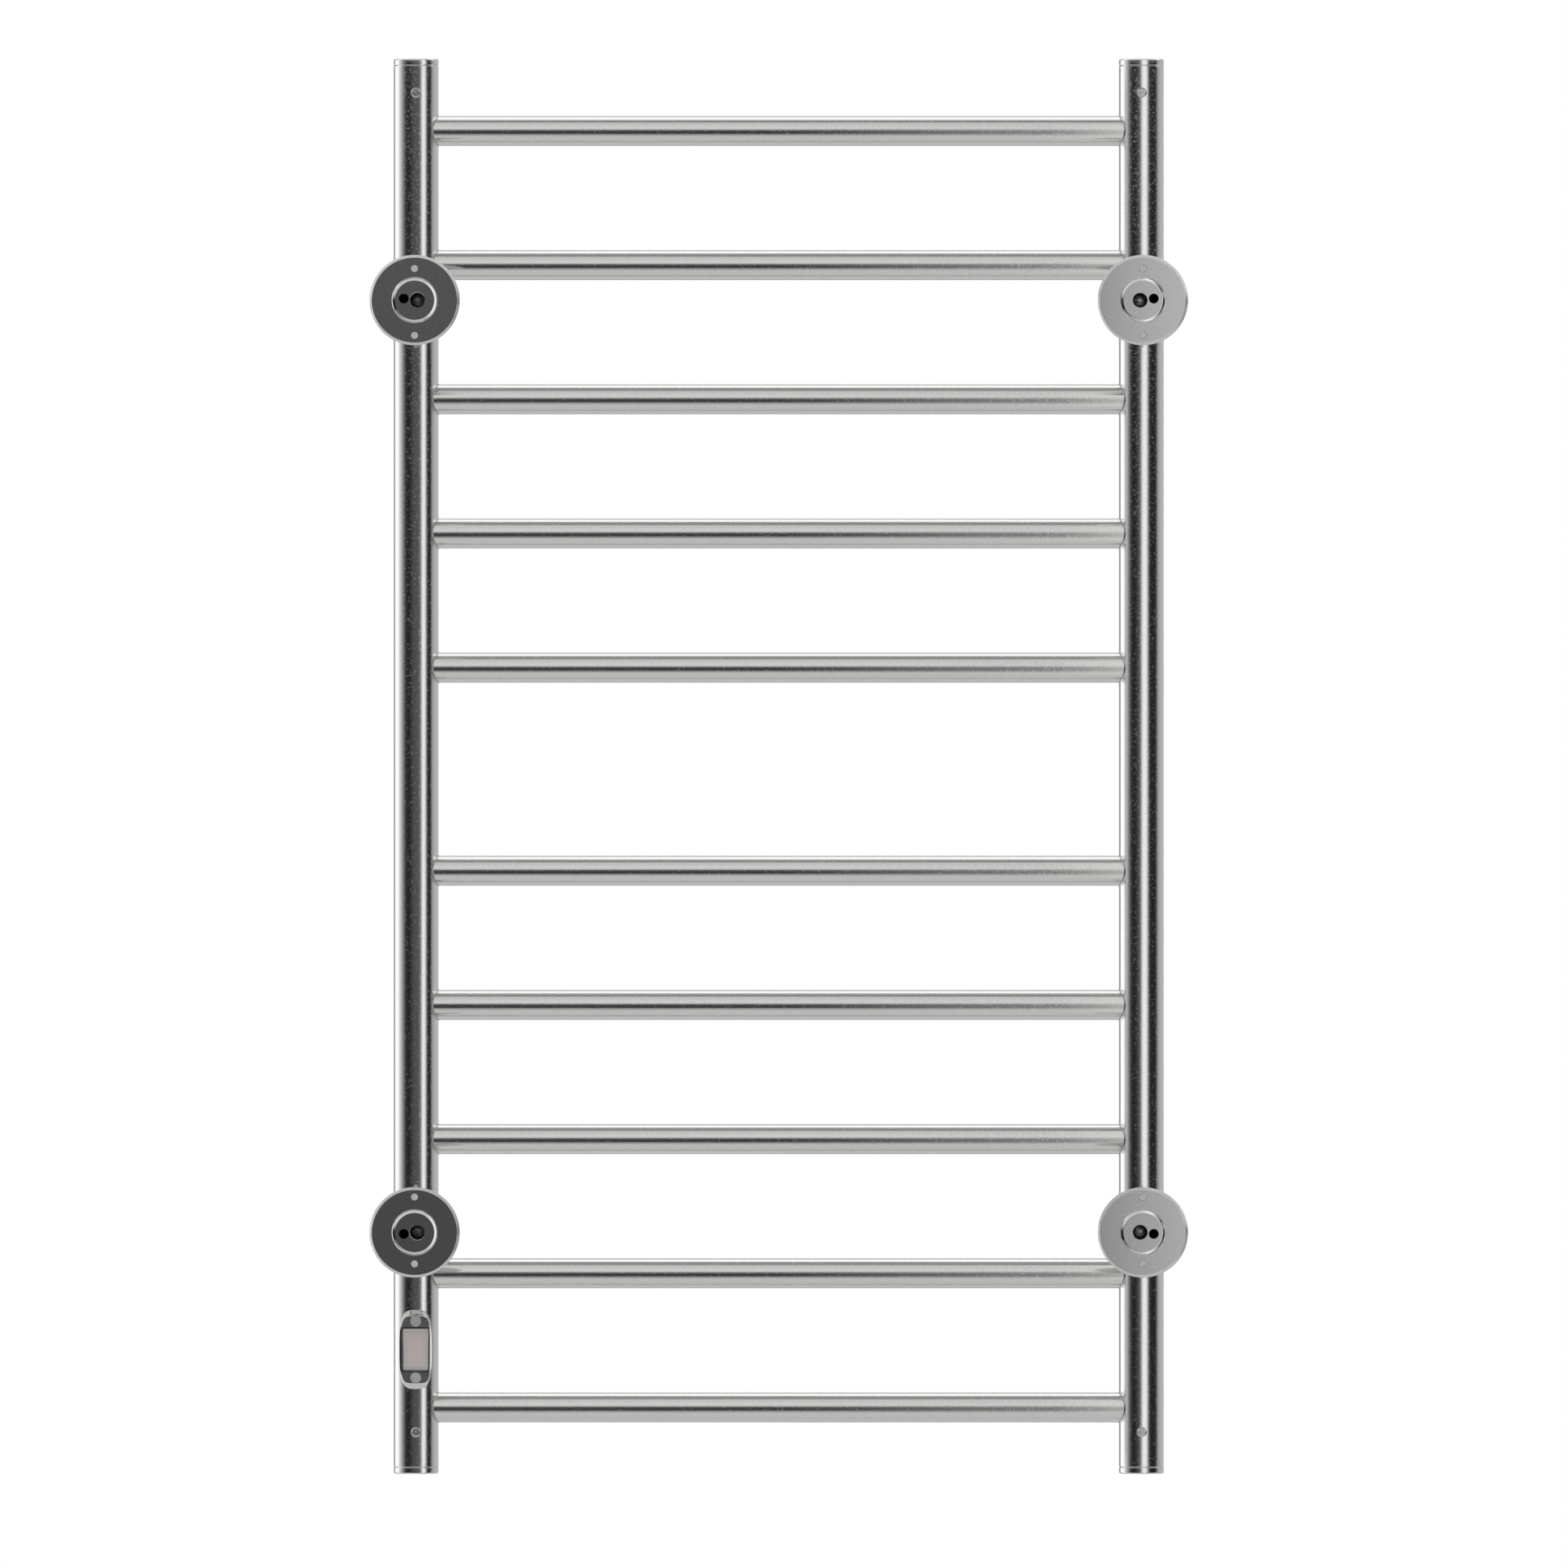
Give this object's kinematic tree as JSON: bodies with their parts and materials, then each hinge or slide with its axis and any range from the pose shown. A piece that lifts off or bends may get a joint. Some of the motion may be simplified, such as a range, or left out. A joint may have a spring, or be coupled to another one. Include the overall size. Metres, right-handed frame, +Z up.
{
  "type": "towel warmer rack",
  "caption": "Wall-mounted ladder towel warmer of polished steel tube, with a rocker switch at the back, sliding rosettes on its wall posts and an electric heating cable inside.",
  "frame": {"origin": "centre of the four posts' pattern, on the plane of the wall", "axes": "+X to the right as seen from the wall side, +Y out of the wall into the room, +Z up"},
  "size_m": [0.562, 0.0874, 0.975],
  "materials": {
    "polished_steel": "mirror polished stainless steel",
    "screw_steel": "plain bright steel",
    "pad_rubber": "matt",
    "grey_plastic": "satin",
    "rocker_plastic": "satin gloss",
    "black_plastic": "matt",
    "contact_brass": "bright",
    "cable_sheath": "matt silicone"
  },
  "bodies": {
    "rail": {"left_upright": "polished_steel", "left_upper_end_cap": "polished_steel", "left_upper_cap_screw": "screw_steel", "left_upper_post": "polished_steel", "left_upper_grub_screw": "screw_steel", "left_lower_end_cap": "polished_steel", "left_lower_cap_screw": "screw_steel", "left_lower_post": "polished_steel", "left_lower_grub_screw": "screw_steel", "right_upright": "polished_steel", "right_upper_end_cap": "polished_steel", "right_upper_cap_screw": "screw_steel", "right_upper_post": "polished_steel", "right_upper_grub_screw": "screw_steel", "right_lower_end_cap": "polished_steel", "right_lower_cap_screw": "screw_steel", "right_lower_post": "polished_steel", "right_lower_grub_screw": "screw_steel", "rung_01": "polished_steel", "rung_02": "polished_steel", "rung_03": "polished_steel", "rung_04": "polished_steel", "rung_05": "polished_steel", "rung_06": "polished_steel", "rung_07": "polished_steel", "rung_08": "polished_steel", "rung_09": "polished_steel", "rung_10": "polished_steel", "switch_bezel": "polished_steel", "switch_gasket": "pad_rubber", "switch_screw_cap_upper": "grey_plastic", "switch_screw_cap_lower": "grey_plastic", "switch_screw_upper": "screw_steel", "switch_screw_lower": "screw_steel", "switch_body": "black_plastic", "common_terminal": "contact_brass", "contact_terminal": "contact_brass", "heating_cable": "cable_sheath", "cable_end_seal": "black_plastic", "cable_splice": "black_plastic", "thermal_cutout": "screw_steel", "cutout_lead": "black_plastic", "switch_lead": "black_plastic"},
    "rocker": {"rocker": "rocker_plastic", "plunger": "contact_brass", "plunger_spring": "screw_steel"},
    "contact_arm": {"contact_arm": "contact_brass"},
    "left_upper_rosette": {"left_upper_rosette": "polished_steel", "left_upper_outer_pad": "pad_rubber", "left_upper_inner_pad": "pad_rubber"},
    "left_lower_rosette": {"left_lower_rosette": "polished_steel", "left_lower_outer_pad": "pad_rubber", "left_lower_inner_pad": "pad_rubber"},
    "right_upper_rosette": {"right_upper_rosette": "polished_steel", "right_upper_outer_pad": "pad_rubber", "right_upper_inner_pad": "pad_rubber"},
    "right_lower_rosette": {"right_lower_rosette": "polished_steel", "right_lower_outer_pad": "pad_rubber", "right_lower_inner_pad": "pad_rubber"}
  },
  "joints": [
    {"name": "rocker_tilt", "type": "hinge", "parent": "rail", "child": "rocker", "pos_m": [-0.25, 0.0585, -0.4016], "axis": [1, 0, 0], "range_deg": [-9, 0]},
    {"name": "contact_tilt", "type": "hinge", "parent": "rail", "child": "contact_arm", "pos_m": [-0.25, 0.0675, -0.4016], "axis": [1, 0, 0], "range_deg": [0, 10]},
    {"name": "left_upper_rosette_slide", "type": "slide", "parent": "rail", "child": "left_upper_rosette", "axis": [0, 1, 0], "range_m": [0, 0.05]},
    {"name": "left_lower_rosette_slide", "type": "slide", "parent": "rail", "child": "left_lower_rosette", "axis": [0, 1, 0], "range_m": [0, 0.05]},
    {"name": "right_upper_rosette_slide", "type": "slide", "parent": "rail", "child": "right_upper_rosette", "axis": [0, 1, 0], "range_m": [0, 0.05]},
    {"name": "right_lower_rosette_slide", "type": "slide", "parent": "rail", "child": "right_lower_rosette", "axis": [0, 1, 0], "range_m": [0, 0.05]}
  ],
  "couplings": [
    {"joint": "contact_tilt", "follows": "rocker_tilt", "ratio": -1.1}
  ]
}
